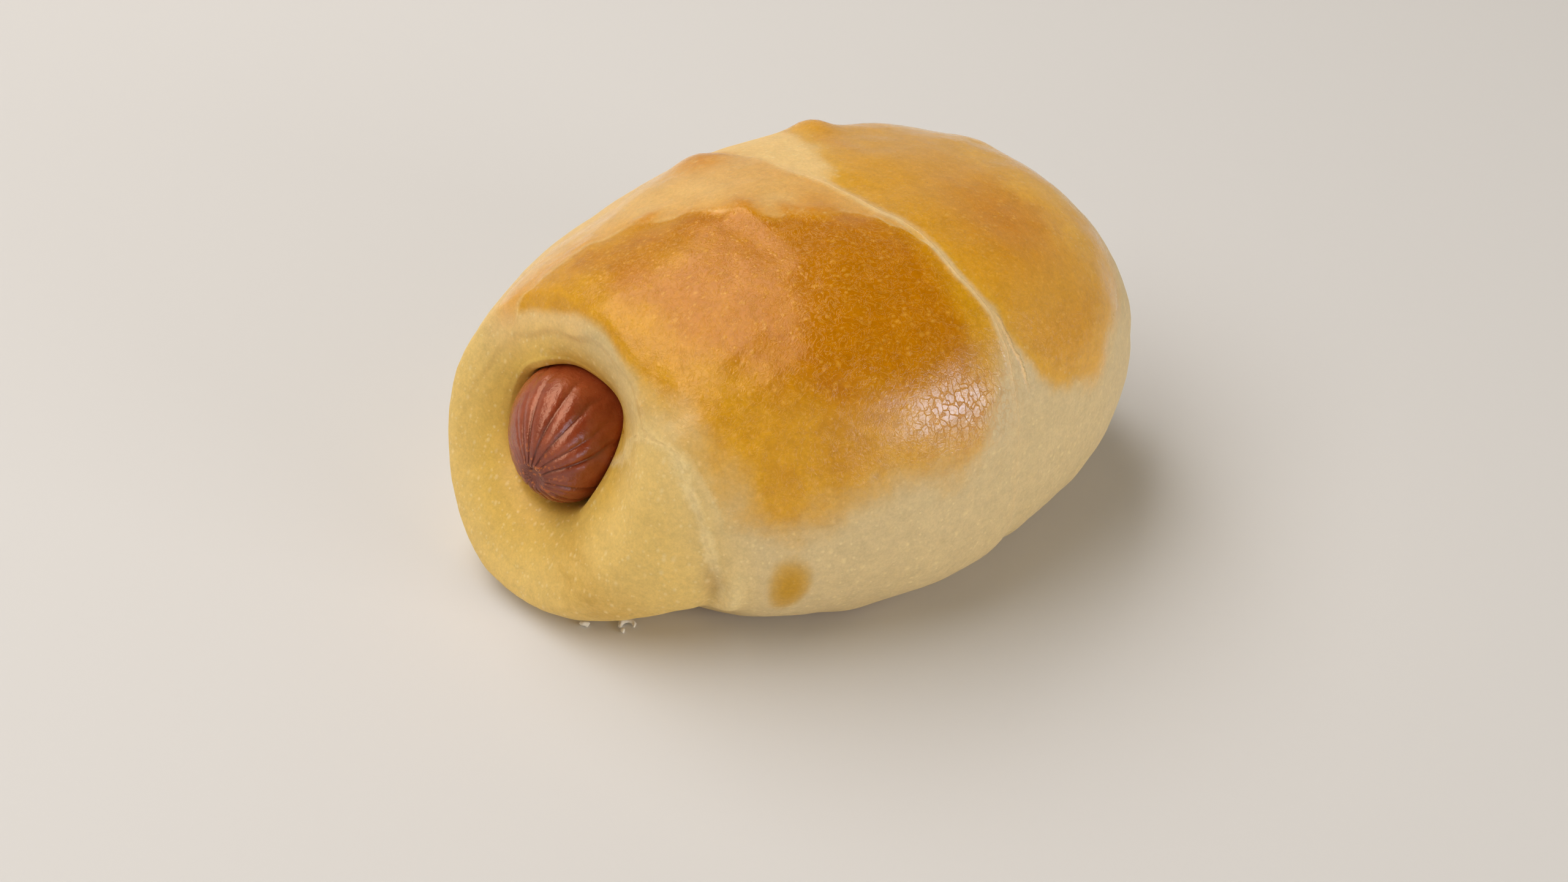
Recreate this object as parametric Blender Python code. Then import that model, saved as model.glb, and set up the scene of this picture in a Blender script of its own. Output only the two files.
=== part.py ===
"""A sausage kolache: a baked bun wrapped round a sausage that shows at both ends.

Metres, +Z up. The long axis is X and the end drawn from the photo is at -X. The bun lies flat on z = 0.
Angles round the long axis run from the front (-Y) over the top (+Z) to the back (+Y).
"""
import bpy
import numpy as np

MM = 0.001
OBJECT_NAME = "sausage_kolache"

# Bun: half sizes, height, and the roundness of its cross section above and below the widest level.
HALF_WIDTH = 48.0 * MM
HEIGHT = 68.0 * MM
WIDEST_LEVEL = 32.1 * MM
ROUND_ABOVE = 2.54
ROUND_BELOW = 3.25
UNDERSIDE_SINK = 1.2 * MM
SWEEP = 1.63 * MM
SWEEP_SPAN = 60.0 * MM

# Each end has a ring where the outer crust turns in towards the sausage.
# reach: ring's distance along X. lean: how far its plane leans back with height. radius, centre: of the ring.
# fall, blunt: powers that say how the crust narrows from the middle of the bun to the ring.
NEAR_END = {"side": -1.0, "reach": 50.6 * MM, "lean": 0.372, "radius": 26.5 * MM,
            "centre_y": 12.2 * MM, "centre_z": 30.6 * MM, "fall": 1.40, "blunt": 0.68}
FAR_END = {"side": 1.0, "reach": 65.5 * MM, "lean": 0.338, "radius": 17.9 * MM,
           "centre_y": 6.0 * MM, "centre_z": 32.1 * MM, "fall": 1.575, "blunt": 0.413}
SOFT_MIDDLE = 0.22
# The profile's joins are rounded by averaging over neighbouring columns, at these offsets and weights.
ROUNDING = ((-3.6, 0.07), (-2.4, 0.13), (-1.2, 0.19), (0.0, 0.22), (1.2, 0.19), (2.4, 0.13), (3.6, 0.07))

# Hole: the crust dips into it, deepest at the sausage.
SAUSAGE_GAP = 0.3 * MM
DISH_DEPTH = {-1.0: 6.0 * MM, 1.0: 4.0 * MM}
# How the near dish differs from that depth: extra depth, middle angle, width in degrees.
DISH_SWELLS = ((4.3 * MM, 34.0, 34.0), (-3.0 * MM, 122.0, 24.0), (-2.0 * MM, -26.0, 22.0),
               (1.2 * MM, 182.0, 26.0), (-1.8 * MM, 240.0, 26.0))
DISH_WIDTH = 3.4 * MM
# The near dish is a wide funnel towards the front: extra width, middle angle, half width in degrees.
FUNNEL = (10.0 * MM, 26.0, 46.0)

# Sausage: a capsule along a curved centre line, with puckered ends.
SAUSAGE_RADIUS = 12.3 * MM
SAUSAGE_LEVEL = 31.3 * MM
SAUSAGE_LEVEL_RISE = 0.012
SAUSAGE_MIDDLE_Y = 17.1 * MM
SAUSAGE_CURVE = 2.61
SAUSAGE_TIP = {-1.0: 55.3 * MM, 1.0: 66.0 * MM}
SAUSAGE_CAP = 12.5 * MM
PUCKER_DEPTH = 1.7 * MM
PUCKER_RADIUS = 2.4 * MM
# Skin folds that run out of the pucker: angle round the sausage in degrees, depth, half width in degrees, reach.
SKIN_FOLDS = ((5, 0.55, 8, 1.1), (33, 0.75, 7, 1.5), (52, 0.60, 6, 1.3), (74, 0.45, 6, 1.0), (96, 0.55, 6, 1.2),
              (118, 0.45, 6, 1.0), (141, 0.55, 7, 1.1), (167, 0.45, 6, 0.9), (192, 0.55, 7, 1.0), (219, 0.45, 6, 0.9),
              (246, 0.55, 7, 1.0), (272, 0.45, 6, 0.9), (299, 0.50, 7, 1.0), (326, 0.60, 7, 1.2))

# Relief of the crust. Seams are rings at one place along X; the panel between them stands proud.
SEAM_NEAR_X = -42.8 * MM
SEAM_FAR_X = 13.5 * MM
SEAM_STEP = 0.45 * MM
SEAM_EDGE = 1.1 * MM
SEAM_FADE = 8.0 * MM
CREASE_RADIUS = 20.5 * MM
CREASE_STEP = 0.6 * MM
# Round lumps and dents: place along X, angle in degrees, height, half length along X, half width in degrees.
LUMPS = ((-41.0, -58, -5.0, 6.6, 21), (-25.0, -48, -0.8, 9.0, 16), (14.5, -42, -1.0, 2.5, 22),
         (-9.0, -44, -0.4, 6.0, 14), (25.0, -34, -0.5, 9.0, 16), (54.0, -16, -0.8, 8.0, 24),
         (26.5, 121, 1.7, 3.6, 8), (2.5, 126, 1.0, 4.2, 8), (-24.0, 126, -1.9, 18.0, 24),
         (-8.0, 92, 0.6, 3.4, 6), (-14.0, 60, 0.5, 14.0, 26), (34.0, 40, 0.5, 16.0, 30),
         (-42.0, 160, -0.6, 10.0, 22), (-3.0, 142, -0.6, 7.0, 14), (46.0, 112, -0.6, 16.0, 30),
         (36.0, 190, 0.6, 18.0, 30), (-6.0, 205, -0.6, 14.0, 22))

BUN_ROUND = 60
BUN_OUTER, BUN_FAR_DISH, BUN_BORE, BUN_NEAR_DISH = 56, 6, 9, 7
SAUSAGE_ROUND = 60
SAUSAGE_RINGS = 27
SAUSAGE_CAP_RINGS = 9

CRUST_COLOUR = (0.66, 0.37, 0.09, 1.0)
SAUSAGE_COLOUR = (0.25, 0.055, 0.025, 1.0)


def signed_power(value, power):
    return np.sign(value) * np.abs(value) ** power


def bell(value):
    """A smooth bump: 1 at 0, near 0 past 2."""
    return np.exp(-value * value)


def turn_between(angle, middle):
    """Degrees from middle to angle the short way round."""
    return (np.degrees(angle) - middle + 180.0) % 360.0 - 180.0


def sausage_centre(x):
    """Y and Z of the sausage's centre line at x: an arc in plan, almost level."""
    return SAUSAGE_MIDDLE_Y - SAUSAGE_CURVE * x * x, SAUSAGE_LEVEL + SAUSAGE_LEVEL_RISE * x


def middle_section(angle):
    """Y and Z of the bun's widest cross section: a rounded oval whose lower side is cut flat by the table."""
    power = np.where(np.sin(angle) >= 0.0, 2.0 / ROUND_ABOVE, 2.0 / ROUND_BELOW)
    across = signed_power(np.cos(angle), power)
    up = signed_power(np.sin(angle), power)
    tall = np.where(up >= 0.0, HEIGHT - WIDEST_LEVEL, WIDEST_LEVEL + UNDERSIDE_SINK)
    return -HALF_WIDTH * across, WIDEST_LEVEL + tall * up


def ring_point(end, angle, radius):
    """A point of the leaning ring at one end, as X, Y, Z."""
    x = end["side"] * (end["reach"] - end["lean"] * radius * np.sin(angle))
    return x, end["centre_y"] - radius * np.cos(angle), end["centre_z"] + radius * np.sin(angle)


def softened(share, power):
    """A power of a share of the reach, made smooth where the share is 0 and still 1 where it is 1."""
    low = SOFT_MIDDLE ** power
    return ((share ** 2 + SOFT_MIDDLE ** 2) ** (power / 2) - low) / ((1 + SOFT_MIDDLE ** 2) ** (power / 2) - low)


def crust(end, travel, angle):
    """Outer crust from an end's ring (travel 0) to the middle of the bun (travel 90 degrees)."""
    ring_x, ring_y, ring_z = ring_point(end, angle, end["radius"])
    wide_y, wide_z = middle_section(angle)
    share = np.cos(travel)
    grown = np.maximum(1.0 - softened(share, end["fall"]), 0.0) ** end["blunt"]
    x = ring_x * share
    y = ring_y + (wide_y - ring_y) * grown - SWEEP * (x / SWEEP_SPAN) ** 2
    return np.stack([x, y, ring_z + (wide_z - ring_z) * grown], axis=-1)


def dish_depth(end, angle):
    """How deep the hole's edge lies below the ring's plane."""
    deep = DISH_DEPTH[end["side"]] + np.zeros_like(angle)
    if end["side"] < 0.0:
        for more, middle, wide in DISH_SWELLS:
            deep = deep + more * bell(turn_between(angle, middle) / wide)
    return deep


def dish_width(end, angle):
    """How fast the dish fades from the hole's edge outwards."""
    more, middle, wide = FUNNEL
    near = 1.0 if end["side"] < 0.0 else 0.0
    return DISH_WIDTH + near * more * bell(turn_between(angle, middle) / wide)


def dish(end, inward, angle):
    """The crust from an end's ring (inward 0) down to the hole's edge (inward 1)."""
    hole = SAUSAGE_RADIUS + SAUSAGE_GAP
    radius = end["radius"] + (hole - end["radius"]) * inward
    x, y, z = ring_point(end, angle, radius)
    deep = dish_depth(end, angle)
    width = dish_width(end, angle)
    sunk = deep * np.exp(-(radius - hole) / width)
    sunk = sunk - deep * np.exp(-(end["radius"] - hole) / width) * (1.0 - inward)
    x = x - end["side"] * sunk
    hole_y, hole_z = sausage_centre(x)
    shift = inward ** 2
    y = y - SWEEP * (x / SWEEP_SPAN) ** 2 * (1.0 - shift) + (hole_y - end["centre_y"]) * shift
    z = z + (hole_z - end["centre_z"]) * shift
    return np.stack([x, y, z], axis=-1)


def bore(along, angle):
    """The hole's wall between the two dishes, a gap wider than the sausage."""
    first = dish(FAR_END, np.ones_like(angle), angle)[..., 0]
    last = dish(NEAR_END, np.ones_like(angle), angle)[..., 0]
    x = first + (last - first) * along
    centre_y, centre_z = sausage_centre(x)
    radius = SAUSAGE_RADIUS + SAUSAGE_GAP
    return np.stack([x, centre_y - radius * np.cos(angle), centre_z + radius * np.sin(angle)], axis=-1)


def bun_surface(column, angle):
    """Point for a column of the bun's profile, counted from the near ring over the crust and back by the hole."""
    to_far_dish = BUN_OUTER
    to_bore = to_far_dish + BUN_FAR_DISH
    to_near_dish = to_bore + BUN_BORE
    travel = np.pi * np.clip(column, 0, BUN_OUTER) / BUN_OUTER
    near = crust(NEAR_END, np.minimum(travel, np.pi / 2), angle)
    far = crust(FAR_END, np.minimum(np.pi - travel, np.pi / 2), angle)
    outer = np.where((travel <= np.pi / 2)[..., None], near, far)
    far_dish = dish(FAR_END, np.clip((column - to_far_dish) / BUN_FAR_DISH, 0, 1), angle)
    wall = bore(np.clip((column - to_bore) / BUN_BORE, 0, 1), angle)
    near_dish = dish(NEAR_END, 1.0 - np.clip((column - to_near_dish) / BUN_NEAR_DISH, 0, 1), angle)
    stages = [(column <= to_far_dish)[..., None], (column <= to_bore)[..., None], (column <= to_near_dish)[..., None]]
    return np.select(stages, [outer, far_dish, wall], near_dish)


def rounded_surface(column, angle):
    """The bun's surface with the joins of its profile rounded, except in the hole and at its edges."""
    total = BUN_OUTER + BUN_FAR_DISH + BUN_BORE + BUN_NEAR_DISH
    into_far = (column - BUN_OUTER) / BUN_FAR_DISH
    into_near = (total - column) / BUN_NEAR_DISH
    loose = np.where(into_far <= 0.0, 1.0, np.maximum(1.0 - into_far, np.maximum(1.0 - into_near, 0.0)))
    point = np.zeros(column.shape + (3,))
    for offset, weight in ROUNDING:
        point = point + weight * bun_surface((column + offset * loose) % total, angle)
    return point


def crust_relief(point, angle, outside):
    """How far the crust stands out from the plain form: seams, lumps and the crease round the hole."""
    x = point[..., 0]
    far_side = (SEAM_FAR_X - x) / SEAM_EDGE
    relief = SEAM_STEP * np.tanh(far_side) * np.exp(-np.abs(x - SEAM_FAR_X) / SEAM_FADE)
    front = bell(turn_between(angle, 0.0) / 45.0)
    near_side = (x - SEAM_NEAR_X) / SEAM_EDGE
    relief = relief + SEAM_STEP * front * np.tanh(near_side) * np.exp(-np.abs(x - SEAM_NEAR_X) / SEAM_FADE)
    for place, middle, height, long, wide in LUMPS:
        relief = relief + height * MM * bell((x / MM - place) / long) * bell(turn_between(angle, middle) / wide)
    from_hole = np.hypot(point[..., 1] - NEAR_END["centre_y"], point[..., 2] - NEAR_END["centre_z"])
    upper_back = bell(turn_between(angle, 135.0) / 55.0) * (x < -30.0 * MM)
    outer_side = (from_hole - CREASE_RADIUS) / SEAM_EDGE
    crease = np.tanh(outer_side) * np.exp(-np.abs(from_hole - CREASE_RADIUS) / SEAM_FADE)
    return outside * (relief + CREASE_STEP * upper_back * crease)


def grid_normals(points):
    """Unit normals of a closed grid of points, from its neighbours both ways."""
    along = np.roll(points, -1, axis=1) - np.roll(points, 1, axis=1)
    around = np.roll(points, -1, axis=0) - np.roll(points, 1, axis=0)
    normal = np.cross(along, around)
    return normal / np.linalg.norm(normal, axis=-1, keepdims=True)


def bun_grid(rounds):
    """The bun's points as a grid: angle round the axis by column of the profile."""
    columns = BUN_OUTER + BUN_FAR_DISH + BUN_BORE + BUN_NEAR_DISH
    angle, column = np.meshgrid(np.arange(rounds) * 2 * np.pi / rounds, np.arange(columns), indexing="ij")
    points = rounded_surface(column, angle)
    to_bore = BUN_OUTER + BUN_FAR_DISH
    in_bore = (column >= to_bore - 1) & (column <= to_bore + BUN_BORE + 1)
    points = points + grid_normals(points) * crust_relief(points, angle, 1.0 - in_bore)[..., None]
    points[..., 2] = np.maximum(points[..., 2], 0.0)
    return points


def sausage_profile(rings):
    """Distance along X and radius of each ring of the sausage, from the near tip to the far one."""
    turn = np.linspace(0.0, np.pi / 2, SAUSAGE_CAP_RINGS + 1)[1:]
    cap_radius = np.sin(turn)
    cap_length = 1.0 - np.cos(turn)
    near = -SAUSAGE_TIP[-1.0] + SAUSAGE_CAP * cap_length
    far = SAUSAGE_TIP[1.0] - SAUSAGE_CAP * cap_length[::-1]
    body = np.linspace(near[-1], far[0], rings - 2 * len(turn) + 2)[1:-1]
    x = np.concatenate([near, body, far])
    radius = np.concatenate([cap_radius, np.ones_like(body), cap_radius[::-1]])
    return x, radius * SAUSAGE_RADIUS


def skin_folds(angle, from_tip):
    """Depth of the folds in the skin, which start at the pucker and fade along the sausage."""
    depth = np.zeros_like(angle)
    for middle, deep, wide, reach in SKIN_FOLDS:
        window = bell((from_tip / SAUSAGE_CAP - 0.45 * reach) / (0.5 * reach))
        depth = depth + deep * MM * window * bell(turn_between(angle, middle) / wide)
    return depth


def sausage_point(x, radius, angle):
    """A point of the sausage's skin, with its folds and puckered ends."""
    from_tip = np.minimum(x + SAUSAGE_TIP[-1.0], SAUSAGE_TIP[1.0] - x)
    side = np.where(x < 0.0, -1.0, 1.0)
    skin = np.maximum(radius - skin_folds(angle, from_tip) * np.minimum(radius / SAUSAGE_RADIUS * 2.0, 1.0), 0.0)
    x = x - side * PUCKER_DEPTH * bell(radius / PUCKER_RADIUS)
    centre_y, centre_z = sausage_centre(x)
    return np.stack([x, centre_y - skin * np.cos(angle), centre_z + skin * np.sin(angle)], axis=-1)


def place(mesh, points):
    mesh.vertices.foreach_set("co", points.astype(np.float32).ravel())
    mesh.update()


def vertex_positions(mesh):
    found = np.empty(len(mesh.vertices) * 3, np.float32)
    mesh.vertices.foreach_get("co", found)
    return found.reshape(-1, 3).astype(np.float64)


def new_material(name, colour, roughness):
    material = bpy.data.materials.new(name)
    material.use_nodes = True
    shader = material.node_tree.nodes["Principled BSDF"]
    shader.inputs["Base Color"].default_value = colour
    shader.inputs["Roughness"].default_value = roughness
    return material


def name_object(name, material):
    obj = bpy.context.object
    obj.name = name
    obj.data.name = name
    obj.data.materials.append(material)
    return obj


def make_bun():
    """A torus whose small circle becomes the bun's profile, out over the crust and back through the hole."""
    columns = BUN_OUTER + BUN_FAR_DISH + BUN_BORE + BUN_NEAR_DISH
    bpy.ops.mesh.primitive_torus_add(major_segments=BUN_ROUND, minor_segments=columns, major_radius=1.0,
                                     minor_radius=0.5)
    obj = name_object("bun", new_material("crust", CRUST_COLOUR, 0.45))
    start = vertex_positions(obj.data)
    big = np.arctan2(start[:, 1], start[:, 0]) * BUN_ROUND / (2 * np.pi)
    small = np.arctan2(start[:, 2], np.hypot(start[:, 0], start[:, 1]) - 1.0) * columns / (2 * np.pi)
    row = np.rint(big).astype(int) % BUN_ROUND
    column = np.rint(small).astype(int) % columns
    place(obj.data, bun_grid(BUN_ROUND)[row, column])
    return obj


def make_sausage():
    """A ball whose parallels become the rings of the sausage."""
    bpy.ops.mesh.primitive_uv_sphere_add(segments=SAUSAGE_ROUND, ring_count=SAUSAGE_RINGS + 1, radius=1.0)
    obj = name_object("sausage", new_material("skin", SAUSAGE_COLOUR, 0.3))
    start = vertex_positions(obj.data)
    x_of, radius_of = sausage_profile(SAUSAGE_RINGS)
    ring = np.rint(np.arccos(np.clip(start[:, 2], -1, 1)) * (SAUSAGE_RINGS + 1) / np.pi).astype(int)
    x_all = np.concatenate([[-SAUSAGE_TIP[-1.0]], x_of, [SAUSAGE_TIP[1.0]]])
    radius_all = np.concatenate([[0.0], radius_of, [0.0]])
    angle = np.arctan2(start[:, 1], start[:, 0])
    place(obj.data, sausage_point(x_all[ring], radius_all[ring], angle))
    return obj


def face_outward(obj):
    """Turns the faces round if the enclosed volume comes out negative."""
    mesh = obj.data
    mesh.calc_loop_triangles()
    corners = np.empty(len(mesh.loop_triangles) * 3, np.int32)
    mesh.loop_triangles.foreach_get("vertices", corners)
    a, b, c = vertex_positions(mesh)[corners.reshape(-1, 3)].transpose(1, 0, 2)
    if np.einsum("ij,ij->i", a, np.cross(b, c)).sum() < 0.0:
        mesh.flip_normals()


def centre_on_box(objects):
    """Moves the points so that the whole object's box is centred on X = Y = 0."""
    points = np.concatenate([vertex_positions(obj.data) for obj in objects])
    middle = (points.min(axis=0) + points.max(axis=0)) / 2.0
    middle[2] = 0.0
    for obj in objects:
        place(obj.data, vertex_positions(obj.data) - middle)
    print("box centre moved by", middle.round(6).tolist())


def clear_scene():
    for obj in list(bpy.data.objects):
        bpy.data.objects.remove(obj, do_unlink=True)


def gather(objects):
    """Puts the nodes in a collection named for the object."""
    group = bpy.data.collections.new(OBJECT_NAME)
    bpy.context.scene.collection.children.link(group)
    for obj in objects:
        for old in list(obj.users_collection):
            old.objects.unlink(obj)
        group.objects.link(obj)


def main():
    clear_scene()
    objects = [make_bun(), make_sausage()]
    for obj in objects:
        face_outward(obj)
    centre_on_box(objects)
    gather(objects)


main()
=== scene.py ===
"""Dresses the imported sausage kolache: fine crust, sausage skin, crumbs, and a plain studio for the picture.

Metres, +Z up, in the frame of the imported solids. Lengths named *_MM or said to be in mm are millimetres.
Angles round the long axis run from the front (-Y) over the top (+Z) to the back (+Y). Tables and settings give
them in degrees, and arrays named angle hold radians.
"""
import math

import bmesh
import bpy
import numpy as np
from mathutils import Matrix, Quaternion, Vector


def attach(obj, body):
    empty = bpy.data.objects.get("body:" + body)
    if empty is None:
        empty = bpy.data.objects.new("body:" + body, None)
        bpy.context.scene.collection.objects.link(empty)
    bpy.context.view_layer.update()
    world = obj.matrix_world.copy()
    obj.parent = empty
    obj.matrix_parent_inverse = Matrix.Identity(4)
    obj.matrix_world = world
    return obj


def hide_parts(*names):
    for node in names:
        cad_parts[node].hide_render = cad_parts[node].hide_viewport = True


bl_info = {
    "name": "Sausage kolache",
    "version": (1, 0, 0),
    "blender": (4, 5, 0),
    "location": "View3D > Sidebar > Kolache",
    "description": "A baked bun round a sausage, with egg wash, seams and a small studio",
    "category": "Add Mesh",
}

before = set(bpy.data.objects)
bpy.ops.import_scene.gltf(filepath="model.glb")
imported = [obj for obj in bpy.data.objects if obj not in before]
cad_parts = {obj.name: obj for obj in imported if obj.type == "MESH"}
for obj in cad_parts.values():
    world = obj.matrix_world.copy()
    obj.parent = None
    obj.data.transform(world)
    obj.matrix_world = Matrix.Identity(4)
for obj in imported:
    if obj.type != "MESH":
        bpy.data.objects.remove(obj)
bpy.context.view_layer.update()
MM = 0.001

# Bun: the same form as the solid, from the same sizes.
HALF_WIDTH = 48.0 * MM
HEIGHT = 68.0 * MM
WIDEST_LEVEL = 32.1 * MM
ROUND_ABOVE = 2.54
ROUND_BELOW = 3.25
UNDERSIDE_SINK = 1.2 * MM
SWEEP = 1.63 * MM
SWEEP_SPAN = 60.0 * MM
NEAR_END = {"side": -1.0, "reach": 50.6 * MM, "lean": 0.372, "radius": 26.5 * MM,
            "centre_y": 12.2 * MM, "centre_z": 30.6 * MM, "fall": 1.40, "blunt": 0.68}
FAR_END = {"side": 1.0, "reach": 65.5 * MM, "lean": 0.338, "radius": 17.9 * MM,
           "centre_y": 6.0 * MM, "centre_z": 32.1 * MM, "fall": 1.575, "blunt": 0.413}
# Keeps the crust's power smooth where the two ends meet.
SOFT_MIDDLE = 0.22
# The joins of the profile are rounded by blending each place with its neighbours: offset in columns, weight.
ROUNDING = ((-3.6, 0.07), (-2.4, 0.13), (-1.2, 0.19), (0.0, 0.22), (1.2, 0.19), (2.4, 0.13), (3.6, 0.07))
DISH_DEPTH = {-1.0: 6.0 * MM, 1.0: 4.0 * MM}
# How the near dish differs from that depth: extra depth, middle angle, width in degrees.
DISH_SWELLS = ((4.3 * MM, 34.0, 34.0), (-3.0 * MM, 122.0, 24.0), (-2.0 * MM, -26.0, 22.0),
               (1.2 * MM, 182.0, 26.0), (-1.8 * MM, 240.0, 26.0))
DISH_WIDTH = 3.4 * MM
# The near dish is a wide funnel towards the front: extra width, middle angle, half width in degrees.
FUNNEL = (10.0 * MM, 26.0, 46.0)
# Columns of the profile: outer crust, far dish, hole and near dish.
BUN_OUTER, BUN_FAR_DISH, BUN_BORE, BUN_NEAR_DISH = 56, 6, 9, 7
BUN_COLUMNS = BUN_OUTER + BUN_FAR_DISH + BUN_BORE + BUN_NEAR_DISH
# Where the fine columns stand closer together: how many more, column of the profile, half width in columns.
DENSER = ((0.9, 31.4, 1.0), (0.5, 7.0, 5.0))
# The sparse columns of the hole stay this far off the dishes.
DISH_MARGIN = 0.6

# Soft patches on the crust: place along X in mm, angle, strength, half length in mm, half width in degrees.
# The strength of a lump is its height in mm. The last two are the ridge and the dent in the foot.
LUMPS = ((-41.0, -58, -5.0, 6.6, 21), (-25.0, -48, -0.8, 9.0, 16), (14.5, -42, -1.0, 2.5, 22),
         (-9.0, -44, -0.4, 6.0, 14), (25.0, -34, -0.5, 9.0, 16), (54.0, -16, -0.8, 8.0, 24),
         (26.5, 121, 1.7, 3.6, 8), (2.5, 126, 1.0, 4.2, 8), (-24.0, 126, -1.9, 18.0, 24),
         (-8.0, 92, 0.6, 3.4, 6), (-14.0, 60, 0.5, 14.0, 26), (34.0, 40, 0.5, 16.0, 30),
         (-42.0, 160, -0.6, 10.0, 22), (-3.0, 142, -0.6, 7.0, 14), (46.0, 112, -0.6, 16.0, 30),
         (36.0, 190, 0.6, 18.0, 30), (-6.0, 205, -0.6, 14.0, 22),
         (-39.4, -25, 1.1, 1.2, 12), (-42.1, -25, -1.4, 1.3, 12))
# Brown blisters on the lap's edge and where two coils rise above the outline, the stain on the shown end, the
# crackled glaze, the painted light on the ridge and the painted shadow in the dent of the foot, and the far coil's
# browning on top of an even share.
PATCHES = {
    "blister": ((-7.9, 93.5, 0.9, 2.6, 3.0), (-18.6, 108.5, 0.8, 2.2, 2.6), (2.3, 87.5, 0.8, 3.4, 2.4),
                (0.5, 120.0, 1.0, 5.4, 8.0), (26.0, 116.0, 0.40, 2.6, 8.0), (23.2, 105.0, 0.45, 1.8, 6.0),
                (-2.5, 89.5, 0.8, 1.6, 1.6)),
    "stain": ((-55.0, -45.0, 0.9, 4.5, 16.0),),
    "crackle": ((0.5, 21.0, 1.0, 11.5, 12.5),),
    # Painted light on the ridge in the foot.
    "pale": ((-39.6, -25.0, 1.0, 1.5, 12.0),),
    # Painted shadow in the dent of the foot.
    "dent": ((-42.6, -17.0, 1.0, 1.5, 9.0),),
    "far_brown": ((32.0, 66.0, 0.76, 12.0, 20.0), (30.0, 27.0, 0.22, 12.0, 7.0)),
}
FAR_BROWN_EVEN = 0.24
# Heights of the fine relief in mm: the step and the lip at each seam, the flap's edge, the lap and its blisters.
FAR_SEAM_STEP, FAR_SEAM_LIP, NEAR_SEAM_STEP, NEAR_SEAM_LIP = 0.26, 0.10, 0.22, -0.06
FLAP_STEP, LAP_ROUGHNESS, BLISTER_HEIGHT = 0.42, 0.14, 0.35
# The solids were moved by this much so that their box is centred.
BOX_MIDDLE = np.array([5.541 * MM, 0.014 * MM, 0.0])

# Sausage, as the solid's.
SAUSAGE_RADIUS = 12.3 * MM
SAUSAGE_LEVEL = 31.3 * MM
SAUSAGE_LEVEL_RISE = 0.012
SAUSAGE_MIDDLE_Y = 17.1 * MM
SAUSAGE_CURVE = 2.61
SAUSAGE_TIP = {-1.0: 55.3 * MM, 1.0: 66.0 * MM}
SAUSAGE_CAP = 12.5 * MM
SAUSAGE_GAP = 0.3 * MM
HOLE_RADIUS = SAUSAGE_RADIUS + SAUSAGE_GAP
CAP_RINGS, BODY_RINGS = 90, 60
# Skin folds of the shown end: angle at the pucker and further out, depth in mm, half width in degrees,
# and the distances from the pucker in mm between which the fold shows.
FOLDS = ((34, 12, 0.60, 6.0, 2.0, 14), (84, 76, 0.62, 7.5, 2.6, 13), (70, 52, 0.55, 7.0, 2.6, 14),
         (3, -25, 0.60, 4.5, 1.6, 12), (99, 103, 0.62, 7.0, 2.2, 12), (112, 118, 0.55, 6.0, 2.0, 11),
         (54, 31, 0.45, 6.0, 2.4, 13), (18, 0, 0.18, 3.0, 3.0, 7), (125, 129, 0.45, 5.0, 2.0, 10),
         (141, 145, 0.30, 5.0, 1.6, 7), (156, 160, 0.45, 5.0, 1.6, 9), (175, 178, 0.35, 5.0, 1.6, 7),
         (194, 198, 0.50, 6.0, 1.6, 8), (214, 219, 0.45, 5.0, 1.6, 8), (236, 240, 0.50, 6.0, 1.6, 8),
         (258, 262, 0.45, 5.0, 1.6, 8), (280, 284, 0.50, 6.0, 1.6, 9), (303, 300, 0.45, 5.0, 1.6, 9),
         (325, 316, 0.50, 5.0, 1.6, 10), (342, 334, 0.30, 4.0, 2.4, 8))
# The far end has the same folds, turned by this angle.
FAR_END_TURN = 24.0
PUCKER_DEPTH_MM = 0.9
PUCKER_RADIUS_MM = 1.9
# The pucker lies off the tip, towards the front and lower down: how far, in mm.
PUCKER_OFF = (2.3, -1.8)

# Crumbs on the table: X and Y in mm, heading and bend in degrees, length and half thickness in mm.
CRUMBS = ((-45.6, -7.3, 146.0, 250.0, 5.6, 0.46), (-52.0, -3.1, -37.0, 30.0, 2.0, 0.50),
          (-47.7, -8.9, 60.0, 60.0, 1.3, 0.36))
CRUMB_ROUNDS, CRUMB_RINGS = 12, 17
CRUMB_SEED = 31

# Seams, as places along X in mm by angle in degrees: a thin pale line where two coils of dough meet.
FAR_SEAM = ((-60, 12.6), (-7, 12.3), (11, 12.2), (22, 12.4), (30, 13.1), (36, 12.9), (42, 13.2), (49, 12.5), (56, 11.8),
            (64, 12.3), (71, 12.6), (78, 11.9), (81, 11.0), (87, 10.6), (91, 9.9), (98, 7.4), (109, 7.6), (125, 3.0),
            (160, -2.0), (220, 2.0), (300, 12.6))
FAR_BRANCH = ((0, 16.4), (19, 15.9), (25, 15.6), (31, 14.5), (41, 14.2), (52, 12.4))
NEAR_SEAM = ((-60, -40.7), (-28, -40.7), (-21, -41.3), (-13, -42.1), (-6, -42.8), (-1, -43.2), (6, -43.5),
             (15, -43.8), (22, -43.5), (25, -43.3), (28, -44.1), (30, -44.8), (36, -44.9))
# The flap's edge on the near face: distance from the hole's middle in mm by angle.
FLAP_EDGE = ((30, 28.5), (44, 27.0), (60, 25.0), (78, 22.6), (93, 19.9), (110, 19.3), (124, 19.4), (158, 19.5),
             (175, 20.5), (194, 21.3), (230, 22.5))
# How far the wash stays off that edge, in mm by angle.
FLAP_MARGIN = ((30, -1.0), (50, 0.6), (70, 2.2), (90, 3.4), (120, 3.6), (150, 3.0))
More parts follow.
